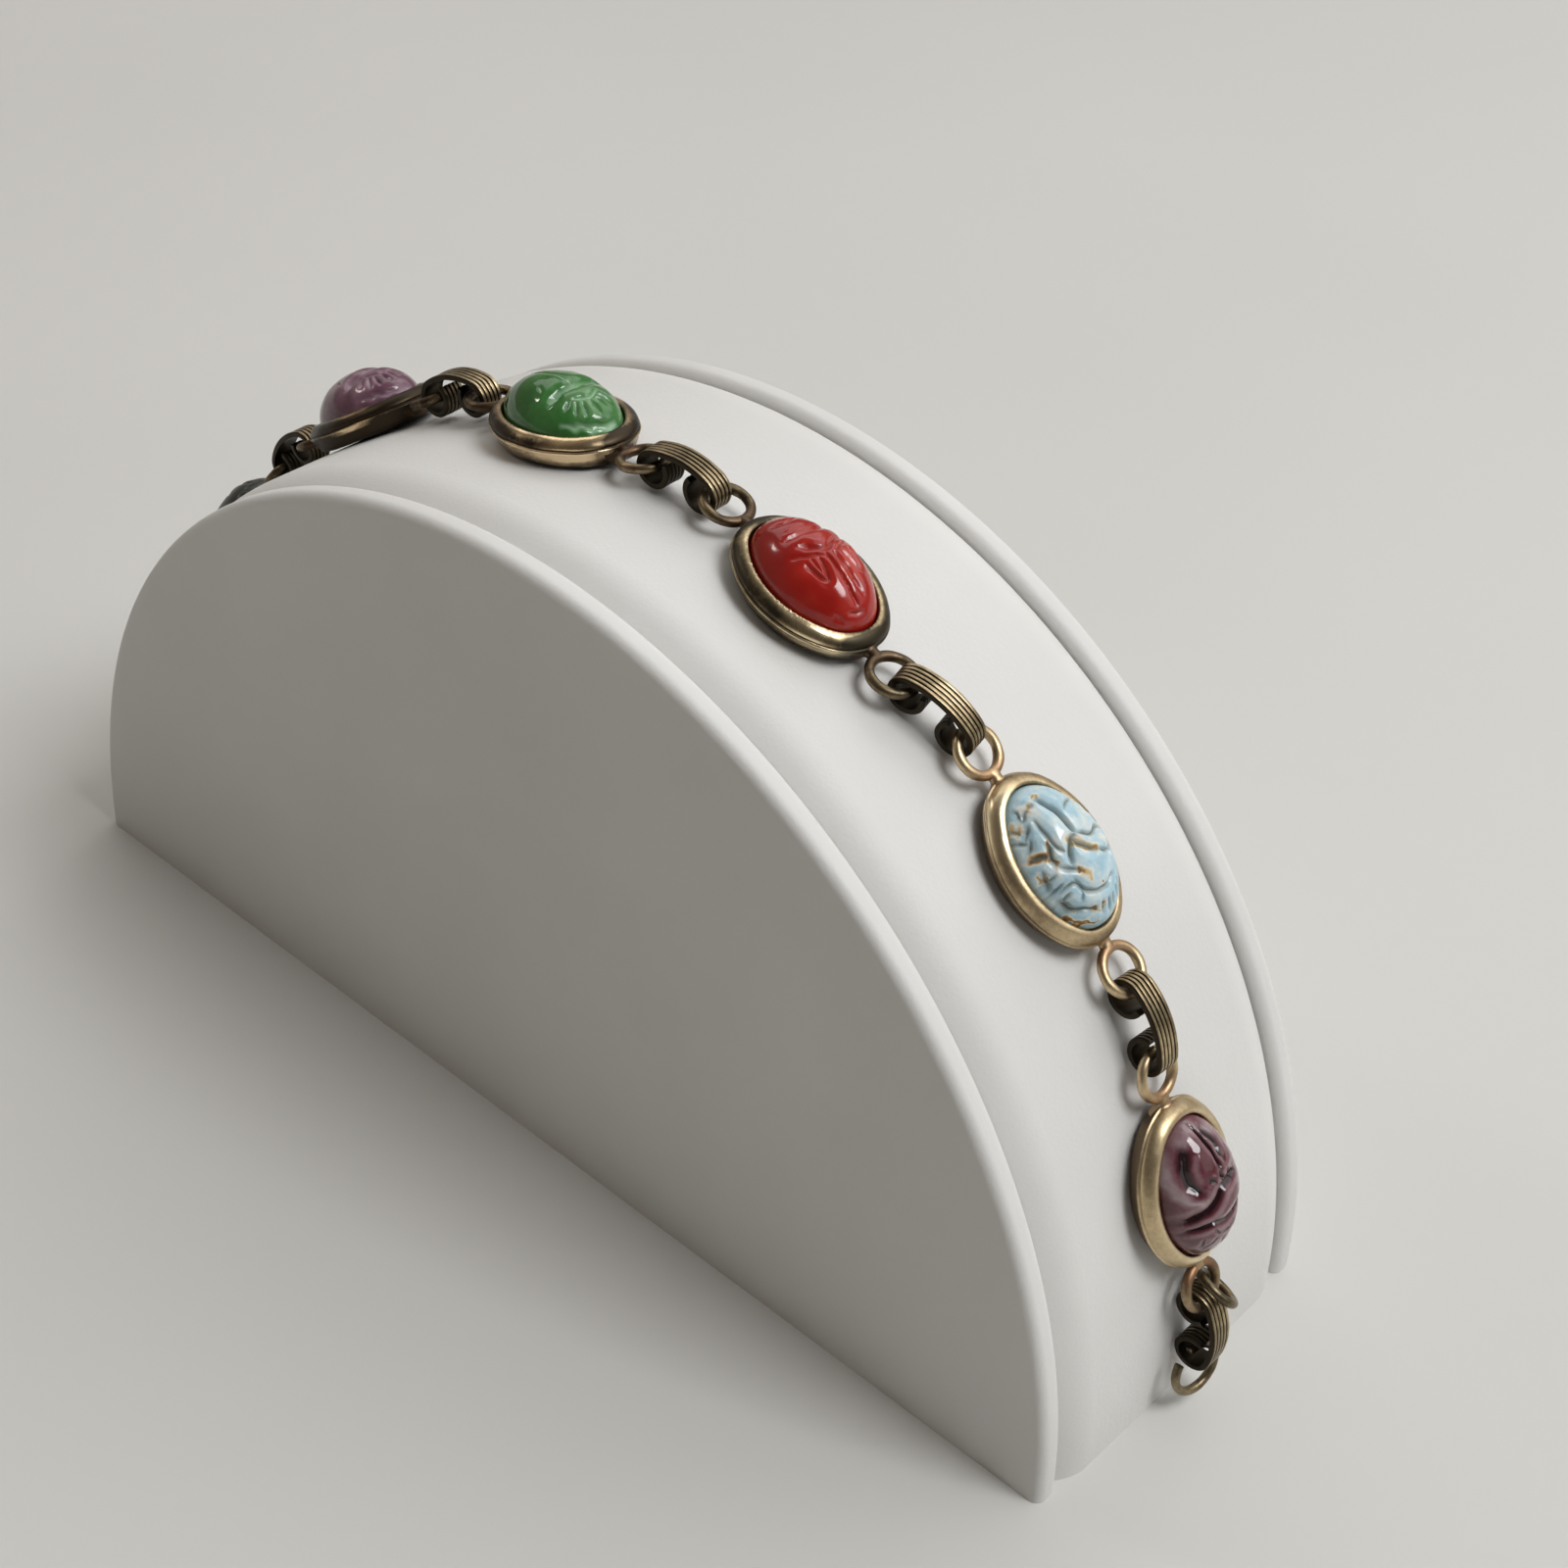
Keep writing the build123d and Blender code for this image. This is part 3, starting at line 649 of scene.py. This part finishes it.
# Carved lines of each stone, seen from above with the hook end at -x: half width, depth and points.
# A negative depth raises a ridge. The sides that the photo hides are plainer guesses.
# The jade's fan of short cuts: the angle of each, and the radii where it starts and ends.
FAN = [(radians(a), r0, r1) for a, r0, r1 in (
    (108, 1.5, 2.3), (131, 1.5, 2.35), (154, 1.45, 2.4), (179, 1.4, 2.55), (203, 1.45, 2.4), (226, 1.5, 2.35),
    (249, 1.5, 2.3))]
CARVING = {
    "carnelian": [
        (0.30, 0.26, [(2.45, -2.9), (2.3, -1.4), (2.25, 0.2), (2.35, 1.9)]),
        (0.22, 0.18, [(2.95, -1.9), (2.85, -0.6), (2.95, 1.3)]),
        (0.34, 0.26, [(1.0, -3.4), (0.75, -1.8), (0.0, -0.1), (0.55, 0.75), (1.2, 1.6)]),
        (0.24, 0.17, [(-0.55, 0.4), (0.05, 1.5), (0.75, 2.6)]),
        (0.24, 0.17, [(-0.55, -0.6), (-0.1, -1.7), (0.4, -2.9)]),
        (0.22, 0.20, [(-0.3, 0.28), (-2.4, 0.34), (-4.9, 0.4)]),
        (0.28, 0.22, [(-0.4, -0.5), (-2.4, -0.55), (-4.3, -0.55)]),
        (0.26, 0.22, [(-0.5, 1.05), (-1.3, 1.2), (-2.35, 1.5), (-1.6, 1.95), (-0.4, 2.15)]),
        (0.17, 0.14, [(-0.2, 1.6), (-1.2, 1.62), (-1.75, 1.55)]),
        (0.26, 0.22, [(-0.5, -1.3), (-1.3, -1.5), (-2.35, -1.8), (-1.6, -2.3), (-0.4, -2.5)]),
        (0.20, 0.17, [(-5.3, -0.1), (-5.3, 0.5), (-5.0, 1.2)]),
        (0.16, 0.12, [(-5.1, 1.8), (-4.5, 2.2)]),
        (0.36, 0.34, [(2.7, -3.4), (2.6, -2.5)]), (0.32, 0.30, [(0.9, -3.8), (0.85, -2.8)]),
        (0.30, 0.26, [(-1.2, -3.9), (-1.0, -3.1)]),
        (0.18, 0.14, [(4.4, -1.4), (4.1, 0.0), (4.3, 1.2)]),
    ],
    "jade": [
        (0.42, 0.46, [(-1.5, -2.6), (-1.7, -1.2), (-1.85, 0.2), (-1.7, 1.4), (-1.75, 2.6)]),
        (0.22, 0.20, [(-3.1, -1.4), (-3.55, -0.7), (-3.7, 0.1), (-3.45, 0.7), (-3.1, 1.2)]),
        (0.24, 0.20, [(-5.75, -0.9), (-5.85, 0.1), (-5.45, 1.3), (-4.5, 2.3)]),
        (0.16, 0.12, [(-5.0, 1.9), (-4.3, 2.5), (-3.4, 3.0)]),
        (0.14, 0.10, [(-0.35, 2.2), (0.2, 1.9)]),
        (0.16, 0.08, [(-1.5, 0.0), (1.5, 0.1), (5.0, 0.15)]),
        (0.30, 0.16, [(-0.4, -3.3), (1.0, -2.9), (2.4, -3.0)]),
        (0.26, 0.12, [(1.3, -1.6), (2.8, -1.2), (4.3, -1.3)]),
    ] + [(0.19, 0.24, [(-2.6 + r * cos(a), 0.1 + r * sin(a)) for r in (r0, r1)]) for a, r0, r1 in FAN],
    "amethyst": [
        (0.52, 0.42, [
            (0.9, -2.3), (0.95, -1.0), (0.75, 0.15), (0.05, 0.9), (-0.5, 1.8), (-0.8, 2.7), (-1.0, 3.6)]),
        (0.38, 0.36, [(-1.9, -2.4), (-1.95, -0.8), (-2.15, 0.4), (-1.95, 1.5), (-1.95, 2.4), (-2.0, 3.4)]),
        (0.46, 0.34, [(1.35, 2.2), (2.1, 2.6), (3.4, 2.5), (4.6, 1.75)]),
        (0.24, 0.26, [(2.3, -0.25), (4.0, -0.2), (5.7, -0.1)]),
        (0.46, 0.34, [(2.8, -1.0), (4.0, -1.2), (5.2, -0.7)]),
        (0.34, 0.40, [(1.35, -0.2), (2.05, -0.1)]),
        (0.34, 0.38, [(0.9, -1.15), (1.7, -1.05)]),
        (0.30, 0.24, [(1.5, 0.75), (2.1, 1.2)]),
        (0.14, 0.14, [(-3.1, 0.9), (-2.6, 1.4)]), (0.14, 0.16, [(-3.9, 2.15), (-3.2, 2.2)]),
        (0.18, 0.16, [(-4.2, 1.9), (-4.0, 1.4), (-3.5, 1.1)]),
        (0.22, 0.2, [(-4.9, 0.1), (-3.8, 0.2)]), (0.22, 0.2, [(-4.7, -1.0), (-3.7, -0.8)]),
        (0.22, -0.12, [(0.4, 1.9), (1.0, 3.1), (2.6, 3.5)]),
        (0.24, 0.2, [(-3.2, -1.4), (-3.4, -0.3), (-3.3, 0.6)]),
    ],
    "turquoise": [
        (0.34, 0.34, [(1.4, 0.25), (2.9, 0.1), (4.0, 0.2), (5.2, 0.35)]),
        (0.26, 0.20, [(0.6, 1.9), (1.6, 2.15), (2.7, 2.1), (3.8, 1.95)]),
        (0.34, 0.32, [(1.35, 0.3), (1.15, 0.9), (0.5, 1.5), (-0.4, 1.95)]),
        (0.40, 0.24, [(-0.8, -0.7), (0.0, 0.1), (0.7, 0.65), (1.3, 0.9)]),
        (0.30, 0.30, [(0.0, 2.8), (0.9, 2.85), (1.45, 2.6), (2.0, 2.4)]),
        (0.36, 0.34, [(1.05, 2.8), (1.2, 3.2), (1.5, 3.7)]),
        (0.30, 0.22, [(-1.2, 1.6), (-0.6, 2.2), (-0.1, 2.8)]),
        (0.30, 0.24, [(-2.9, -1.2), (-3.35, -0.4), (-3.3, 0.8), (-2.6, 1.9), (-1.5, 2.35)]),
        (0.24, 0.20, [(-3.2, 2.3), (-2.4, 2.0), (-1.6, 2.6), (-1.7, 3.4)]),
        (0.30, 0.30, [(-4.4, 1.4), (-4.1, 2.1), (-3.3, 3.1), (-2.2, 3.5)]),
        (0.20, 0.26, [(-5.0, 0.75), (-4.2, 0.7)]), (0.20, 0.24, [(-5.2, 0.1), (-4.3, 0.1)]),
        (0.18, 0.22, [(-4.45, 1.3), (-4.2, 1.9)]), (0.20, 0.22, [(-5.0, -0.6), (-4.2, -0.45)]),
        (0.20, 0.22, [(-4.7, -1.25), (-3.9, -1.0)]), (0.20, 0.22, [(-4.2, -1.9), (-3.5, -1.5)]),
        (0.24, 0.26, [(-1.2, 3.75), (0.3, 3.7)]), (0.22, 0.26, [(1.9, 3.55), (2.7, 3.0)]),
        (0.22, 0.26, [(2.9, 3.15), (3.8, 2.4)]), (0.22, 0.26, [(4.1, 2.5), (4.7, 1.6)]),
        (0.26, 0.22, [(4.75, 1.6), (4.9, 0.9)]),
        (0.20, 0.28, [(5.0, 2.0), (4.2, 2.4)]), (0.20, 0.28, [(4.2, 3.0), (3.4, 3.0)]),
        (0.20, 0.28, [(3.2, 3.6), (2.6, 3.2)]), (0.20, 0.28, [(-0.6, 4.0), (-0.4, 3.2)]),
        (0.20, 0.28, [(-1.6, 3.9), (-1.2, 3.1)]), (0.20, 0.28, [(-2.6, 3.7), (-2.2, 2.9)]),
        (0.28, 0.20, [(0.2, -3.2), (0.6, -2.2), (0.5, -1.2), (1.3, 0.1)]),
        (0.22, 0.14, [(3.3, -2.4), (3.4, -1.5), (3.2, -0.6)]),
        (0.28, 0.22, [(-1.4, -3.0), (-1.3, -2.0), (-0.7, -0.8)]),
    ],
}
# How much deeper than its table says each stone is cut.
DEEPER = {"carnelian": 0.9, "jade": 1.1, "amethyst": 0.95, "turquoise": 1.2, "lilac": 1.2, "dark": 0.9}
# Short leg cuts along the hidden side.
for name in ("amethyst", "turquoise"):
    CARVING[name] += [(0.22, 0.26, [(k, -3.2 + 0.03 * k * k), (k + 0.35, -4.0 + 0.04 * k * k)])
                      for k in (-3.6, -2.5, -1.4, -0.3, 0.8, 1.9, 3.0)]
CARVING["lilac"] = CARVING["jade"]
CARVING["dark"] = CARVING["carnelian"]

# Colour of each stone by place: the value of its body, then half width, value and points of each patch.
STAINS = {
    "turquoise": (0.10, [
        (1.0, 0.24, [(2.9, 1.0), (1.2, 1.9)]), (0.8, 0.22, [(-0.6, 1.2), (-1.6, 0.4)]),
        (0.7, 0.20, [(-3.9, 0.6), (-3.4, 1.6)]),
        (0.62, 0.80, [(-0.6, -0.6), (0.0, 0.05), (0.5, 0.5)]), (0.60, 0.58, [(0.5, 0.5), (1.2, 0.95)]),
        (0.50, 0.95, [(1.15, 2.95), (1.45, 3.5)]), (0.25, 0.85, [(0.1, 2.8), (1.0, 2.85), (1.9, 2.45)]),
        (0.48, 0.62, [(-2.0, 1.1), (-1.2, 1.5)]), (0.28, 0.95, [(-1.35, 1.5), (-1.1, 1.7)]),
        (0.40, 0.72, [(4.65, 1.6), (4.9, 1.1)]), (0.28, 0.8, [(5.0, 0.15), (5.1, 0.4)]),
        (0.18, 0.9, [(-2.85, 0.2), (-2.7, 0.35)]), (0.16, 1.0, [(-4.4, 1.3), (-4.2, 1.9)]),
        (0.20, 0.8, [(-0.3, 3.8), (0.2, 3.85)]), (0.16, 0.7, [(-4.9, 0.75), (-4.3, 0.7)]),
        (0.45, 0.55, [(-1.4, -2.3), (-0.4, -2.2)]), (0.26, 0.5, [(3.5, 3.1), (4.2, 2.6)]),
        (0.15, 1.0, [(-5.3, 1.2), (-4.6, 2.4), (-3.6, 3.2)]), (0.20, 0.9, [(-5.3, -1.2), (-5.7, 0.0)]),
    ]),
    "amethyst": (0.68, [
        (1.9, 0.20, [(-4.4, -0.6), (-4.2, 0.8)]), (1.0, 0.62, [(-1.0, -0.9), (-0.9, 0.6)]),
        (1.0, 0.14, [(-0.5, -2.4), (1.5, -2.8), (3.5, -2.9)]),
        (0.5, 0.14, [(0.4, 2.2), (1.0, 3.2), (2.6, 3.6), (4.6, 3.0)]),
        (0.9, 0.70, [(-1.7, 2.9), (-0.6, 3.5)]), (1.1, 0.62, [(2.5, 1.5), (3.6, 1.3)]),
        (0.6, 0.22, [(4.6, -1.6), (5.6, 0.2), (4.9, 1.6)]),
    ]),
    "jade": (0.45, [
        (1.6, 0.85, [(-4.2, 0.2), (-3.6, 0.3)]), (1.3, 0.75, [(0.5, -3.0), (3.0, -2.6)]),
        (1.4, 0.2, [(0.5, 2.8), (3.0, 2.4)]),
    ]),
    "carnelian": (0.5, [(1.8, 0.2, [(1.5, 2.8), (4.0, 1.6)]), (1.2, 0.9, [(-2.5, -0.6), (-0.5, -2.6)])]),
    "lilac": (0.5, [
        (1.0, 0.2, [(-2.0, 2.0), (1.5, 2.6)]), (0.9, 0.9, [(2.0, 3.0), (4.0, 1.5)]),
        (0.8, 0.15, [(-4.0, 1.5), (-3.0, 2.5)]),
    ]),
    "dark": (0.5, []),
}


def near_line(x, y, line):
    """Distance to a line of points, and how far along it the nearest place is from its nearer end."""
    steps = np.hypot(*(line[1:] - line[:-1]).T)
    before = np.concatenate([[0], np.cumsum(steps)])
    best, along = np.full(x.shape, 1e9), np.zeros(x.shape)
    for k, ((ax, ay), (bx, by)) in enumerate(zip(line[:-1], line[1:])):
        dx, dy = bx - ax, by - ay
        share = np.clip(((x - ax) * dx + (y - ay) * dy) / (dx * dx + dy * dy + 1e-12), 0, 1)
        d = np.hypot(x - ax - share * dx, y - ay - share * dy)
        along = np.where(d < best, before[k] + share * steps[k], along)
        best = np.minimum(best, d)
    return best, np.minimum(along, before[-1] - along)


def stroke(line):
    """A smooth line through three or more points, or the straight line of two."""
    return smooth_line(line, 6) if len(line) > 2 else np.array(line, float)


def carve(name, x, y):
    """At each place, how deep the stone is cut, how strongly its lines take their colour, and how near a
    line's shoulder is.
    """
    cut, dirt, shoulder = np.zeros(len(x)), np.zeros(len(x)), np.zeros(len(x))
    for wide, depth, line in CARVING[name]:
        d, end = near_line(x, y, stroke(line))
        taper = 0.35 + 0.65 * np.clip(end / 0.7, 0, 1) ** 0.6
        sharp = np.clip(1 - d / wide, 0, 1) ** 1.2
        broad = np.clip(1 - (d / (2.6 * wide)) ** 2, 0, 1) ** 2
        this = abs(depth) * DEEPER[name] * taper * (0.95 * sharp + 0.5 * broad)
        if depth < 0:
            cut -= this
        else:
            cut = np.maximum(cut, this)
            dirt = np.maximum(dirt, taper * np.clip(1 - d / (0.9 * wide), 0, 1))
            shoulder = np.maximum(shoulder, taper * np.exp(-((d / wide - 1.6) / 0.6) ** 2))
    return cut, dirt, shoulder


# Rings and spokes of each stone's grid: the stones that the camera sees well have more.
STONE_GRID = {
    "carnelian": (156, 332), "jade": (150, 320), "amethyst": (140, 300), "turquoise": (140, 300),
    "lilac": (96, 210), "dark": (96, 210),
}
STONE_FOOT = 0.72


def make_stone(name, place, material):
    """A carved stone: a dome on the setting's inner outline, cut along its lines, and a wall under it."""
    rings, spokes = STONE_GRID[name]
    share = np.sin(np.linspace(0, pi / 2, rings + 1)[1:]) ** 0.9
    s = np.repeat(share[:, None], spokes, axis=1)
    edge = oval([WALL + STONE_GAP], spokes)[0][:, 0, :]
    x = np.concatenate([[0.0], (s * edge[:, 0]).reshape(-1)])
    y = np.concatenate([[0.0], (s * edge[:, 1]).reshape(-1)])
    s = np.concatenate([[0.0], s.reshape(-1)])
    z = GIRDLE + (STONE_TOP - GIRDLE) * np.sqrt(np.clip(1 - s ** 2, 0, 1))
    dome = np.stack([x, y, z], -1)

    # The lines wander a little, as cut by hand, and are pressed in along the dome's normal.
    cut, dirt, shoulder = carve(name, x + 0.05 * noise(dome, 0.7, 5.0), y + 0.05 * noise(dome, 0.7, 9.0))
    fade = np.clip((1 - s) / 0.05, 0, 1)
    normal = np.stack([x / HALF_A ** 2, y / HALF_B ** 2, (z - GIRDLE) / (STONE_TOP - GIRDLE) ** 2], -1)
    normal /= np.linalg.norm(normal, axis=1)[:, None] + 1e-12
    points = dome - normal * (cut * fade)[:, None]
    points += normal * ((noise(points, 1.7, 2.0) * 0.022 + noise(points, 0.6, 4.0) * 0.004) * fade)[:, None]

    # The colour value: the body's, clouded, and over it the stains with their more or less ragged edges.
    ragged = 1.0 if name == "turquoise" else 0.3
    tx = x + ragged * (0.18 * noise(dome, 0.55, 3.0) + 0.05 * noise(dome, 0.23, 6.0))
    ty = y + ragged * (0.18 * noise(dome, 0.55, 8.0) + 0.05 * noise(dome, 0.23, 1.0))
    body, patches = STAINS[name]
    tint = np.full(len(x), body) + 0.12 * noise(dome, 1.3, 7.0)
    for wide, value, line in patches:
        d, _ = near_line(tx, ty, stroke(line))
        share = np.clip(1.15 - d / wide, 0, 1) ** 1.2
        tint = tint * (1 - share) + value * share
    # On the amethyst the shoulders beside the lines are paler: frosted stone and a painted highlight on the
    # ridges.
    if name == "amethyst":
        tint *= 1 - 0.55 * shoulder * (1 - dirt)

    faces = [[0, 1 + k, 1 + (k + 1) % spokes] for k in range(spokes)]
    faces += (quads(rings, spokes, wrap_m=True) + 1).tolist()
    parts = Parts()
    parts.add(points, faces, dirt, tint)
    wall = np.concatenate([np.column_stack([edge, np.full(spokes, z)]) for z in (GIRDLE, STONE_FOOT)])
    bottom = list(range(spokes, 2 * spokes))[::-1]
    parts.add(wall, quads(2, spokes, wrap_m=True).tolist() + [bottom], 0.6, body)
    parts.build("stone_" + name, place, material, "scarab_" + name)


# Making.

make_stand(leatherette())
satin = brass("satin_brass", (0.80, 0.67, 0.44), (0.62, 0.49, 0.30), (0.16, 0.11, 0.065), 0.30)
patina = brass("patina_brass", (0.84, 0.69, 0.44), (0.34, 0.265, 0.155), (0.060, 0.050, 0.034), 0.24, 1.1)
copper = brass("coppery_brass", (0.90, 0.70, 0.44), (0.40, 0.30, 0.18), (0.048, 0.036, 0.024), 0.22, 1.2)
link_brass = brass("link_brass", (0.72, 0.58, 0.36), (0.30, 0.235, 0.14), (0.035, 0.028, 0.018), 0.25, 0.95)
METALS = {
    "amethyst": satin, "turquoise": satin, "carnelian": patina,
    "jade": copper, "lilac": copper, "dark": patina,
}
# The two settings nearest to the hook end are cleaner.
CLEANER, CLEAN_TARNISH, FULL_TARNISH = 2, 0.3, 1.0
stones = {name: stone(name, **look) for name, look in STONE_LOOKS.items()}

angle = FIRST_ANGLE
for count, row in enumerate(STONES):
    name, pull, slide, sideways, twist = row
    if count > 0:
        angle += 2 * WIRE_ANGLE + 2 * link_turn(pull)
        at = angle - WIRE_ANGLE - link_turn(pull)
        place = link_place(ring_side(STONES[count - 1], 1), ring_side(row, -1), at, pull, slide)
        make_link("ribbed_link_%d" % count, "link_%d" % count, place, link_brass, count)
    place = on_deck(angle, SEAT, sideways, twist)
    make_setting(name, place, METALS[name], CLEAN_TARNISH if count < CLEANER else FULL_TARNISH, 1.7 * count)
    make_stone(name, place, stones[name])

# The hook end: its link hangs on the first setting, the open ring in the link, and the loose ring stands by.
HOOK_RADIUS, HOOK_GAP, HOOK_GAP_AT, HOOK_ROLL, HOOK_TWIST = 2.2, 36.0, 45.0, -10.0, -10.0
HOOK_DROP, JUMP_RADIUS, END_RING = 0.22, 1.8, 2.1
JUMP_AXIS, JUMP_AT = Vector((0.56, -0.67, 0.48)), Vector((-0.50, -0.64, 0.25))
_, pull, slide, sideways, twist = STONES[0]
side = ring_side(STONES[0], -1)
hook_place = link_place(side, side, FIRST_ANGLE - WIRE_ANGLE - link_turn(pull), pull, slide)
hook_place = hook_place @ Matrix.Translation((0, 0, -HOOK_DROP))
make_link("ribbed_hook_link", "hook_link", hook_place, link_brass, 9)
turned = Matrix.Rotation(radians(HOOK_ROLL), 4, "X") @ Matrix.Rotation(radians(HOOK_GAP_AT), 4, "Z")
hang = Matrix.Translation((REST - SPACING / 2, 0, 0)) @ Matrix.Rotation(radians(HOOK_TWIST), 4, "Z")
hang = hang @ Matrix.Translation((-HOOK_RADIUS, 0, 0))
make_ring("open_hook_ring", "hook_ring", hook_place @ hang @ turned, HOOK_RADIUS, 360 - HOOK_GAP, patina, 1.0)
lean = JUMP_AXIS.normalized().to_track_quat("Z", "Y").to_matrix().to_4x4()
lean.translation = JUMP_AT * RING + Vector((-RING_X, 0, RING_Z))
jump_place = on_deck(FIRST_ANGLE, SEAT, sideways, twist) @ lean
make_ring("loose_ring", "jump_ring", jump_place, JUMP_RADIUS, 360, patina, 2.0)

# The hidden end: a last link and a plain closing ring.
side = ring_side(STONES[-1], 1)
end_place = link_place(side, side, angle + WIRE_ANGLE + link_turn(0), 0, 0)
make_link("ribbed_end_link", "end_link", end_place, link_brass, 11)
ring_place = end_place @ Matrix.Translation((SPACING / 2 + END_RING, 0, 0))
make_ring("closing_ring", "end_ring", ring_place, END_RING, 360, patina, 3.0)

# Floor, light and camera.

# The tone of the backdrop, and the floor's own glow: where in metres from the middle it starts and is full,
# and its strength there. Beyond the reach of the lights it keeps the floor pale in the low views too.
BACKDROP = (0.62, 0.615, 0.59)
FLOOR_GLOW, GLOW_COLOUR = (0.4, 1.3, 0.0, 0.78), (0.585, 0.61, 0.60, 1)
# Half the floor's side and the height that the lights face, in metres.
FLOOR_HALF, STAND_MIDDLE = 3, 0.03


def make_floor():
    mesh = bpy.data.meshes.new("floor")
    corners = [(x * FLOOR_HALF, y * FLOOR_HALF, 0) for x, y in ((-1, -1), (1, -1), (1, 1), (-1, 1))]
    mesh.from_pydata(corners, [], [(0, 1, 2, 3)])
    floor = bpy.data.objects.new("floor", mesh)
    bpy.context.scene.collection.objects.link(floor)
    n = Nodes("floor_paper")
    cloud = n.noise(6.0, detail=2.0)
    n.put(Base_Color=n.ramp(cloud, (0.3, (0.59, 0.587, 0.565)), (0.7, (0.625, 0.62, 0.60))), Roughness=0.85)
    far = n.new("ShaderNodeVectorMath", operation="LENGTH")
    n.link(n.place, far.inputs[0])
    glow = n.map_smoothly(far.outputs["Value"], *FLOOR_GLOW)
    n.put(Emission_Color=GLOW_COLOUR, Emission_Strength=glow)
    mesh.materials.append(n.material)


def area(name, azimuth, height, away, size, power, colour):
    """A soft light that faces the stand, with its azimuth from +X towards +Y and its height in degrees."""
    data = bpy.data.lights.new(name, "AREA")
    data.shape, data.size, data.size_y = "RECTANGLE", *size
    data.energy, data.color = power, colour
    lamp = bpy.data.objects.new(name, data)
    a, e = radians(azimuth), radians(height)
    back = Vector((cos(a) * cos(e), sin(a) * cos(e), sin(e))).normalized()
    lamp.location = back * away + Vector((0, 0, STAND_MIDDLE))
    lamp.rotation_mode = "QUATERNION"
    lamp.rotation_quaternion = back.to_track_quat("Z", "Y")
    bpy.context.scene.collection.objects.link(lamp)


# The room's light is warm, and weaker on the side in front of the stand. Seen directly, it is the backdrop.
WORLD_LIGHT, WORLD_COLOUR = 0.215, (1.0, 0.86, 0.71, 1)
DIM_SIDE, DIM_SPAN, DIM_SHARE = Vector((0.50, -0.55, 0.62)), (0.35, 0.92), 0.3


def make_world():
    world = bpy.data.worlds.new("room")
    world.use_nodes = True
    nodes, links = world.node_tree.nodes, world.node_tree.links
    room = nodes["Background"]
    facing = nodes.new("ShaderNodeVectorMath")
    facing.operation = "DOT_PRODUCT"
    facing.inputs[1].default_value = DIM_SIDE.normalized()
    links.new(nodes.new("ShaderNodeTexCoord").outputs["Generated"], facing.inputs[0])
    shade = nodes.new("ShaderNodeMapRange")
    shade.interpolation_type = "SMOOTHSTEP"
    values = (*DIM_SPAN, WORLD_LIGHT, DIM_SHARE * WORLD_LIGHT)
    for socket, value in zip(("From Min", "From Max", "To Min", "To Max"), values):
        shade.inputs[socket].default_value = value
    links.new(facing.outputs["Value"], shade.inputs["Value"])
    links.new(shade.outputs["Result"], room.inputs["Strength"])
    room.inputs["Color"].default_value = WORLD_COLOUR
    backdrop = nodes.new("ShaderNodeBackground")
    backdrop.inputs["Color"].default_value = (*BACKDROP, 1)
    seen = nodes.new("ShaderNodeMixShader")
    links.new(nodes.new("ShaderNodeLightPath").outputs["Is Camera Ray"], seen.inputs[0])
    links.new(room.outputs[0], seen.inputs[1])
    links.new(backdrop.outputs[0], seen.inputs[2])
    links.new(seen.outputs[0], nodes["World Output"].inputs["Surface"])
    bpy.context.scene.world = world


# The camera that was fitted to the photograph: its focal length in pixels of the photograph's width, where it
# stands and looks in metres, and its roll in radians.
FOCAL_PIXELS, PHOTO_WIDTH, SENSOR = 2600.08, 1600, 36.0
EYE, TARGET, CAMERA_ROLL = Vector((0.122765, -0.127205, 0.165144)), Vector((0.000545, 0.01647, 0.020)), -0.058


def make_camera():
    camera = bpy.data.objects.new("camera", bpy.data.cameras.new("camera"))
    bpy.context.scene.collection.objects.link(camera)
    bpy.context.scene.camera = camera
    camera.data.sensor_width, camera.data.lens = SENSOR, FOCAL_PIXELS / PHOTO_WIDTH * SENSOR
    camera.data.clip_start, camera.data.clip_end = 0.01, 20.0
    look = (TARGET - EYE).normalized()
    right = look.cross(Vector((0, 0, 1))).normalized()
    down = look.cross(right)
    c, s = cos(CAMERA_ROLL), sin(CAMERA_ROLL)
    right, down = right * c + down * s, down * c - right * s
    camera.matrix_world = Matrix((
        (right.x, -down.x, -look.x, EYE.x), (right.y, -down.y, -look.y, EYE.y),
        (right.z, -down.z, -look.z, EYE.z), (0, 0, 0, 1)))


make_floor()
COOL = (0.985, 0.995, 1.0)
area("window", 10, 55, away=0.9, size=(0.34, 0.40), power=4.7, colour=COOL)
area("pale_wall", 70, 50, away=1.1, size=(1.2, 1.0), power=4.0, colour=COOL)
area("back_wall", 135, 45, away=1.1, size=(1.2, 0.8), power=2.9, colour=COOL)
area("low_wall", 30, 30, away=1.1, size=(1.0, 0.6), power=1.2, colour=(0.99, 0.995, 1.0))
area("small_lamp", 199, 38, away=0.9, size=(0.10, 0.10), power=0.5, colour=(1.0, 0.94, 0.87))
make_world()
make_camera()
bpy.context.scene.view_settings.view_transform = "Standard"
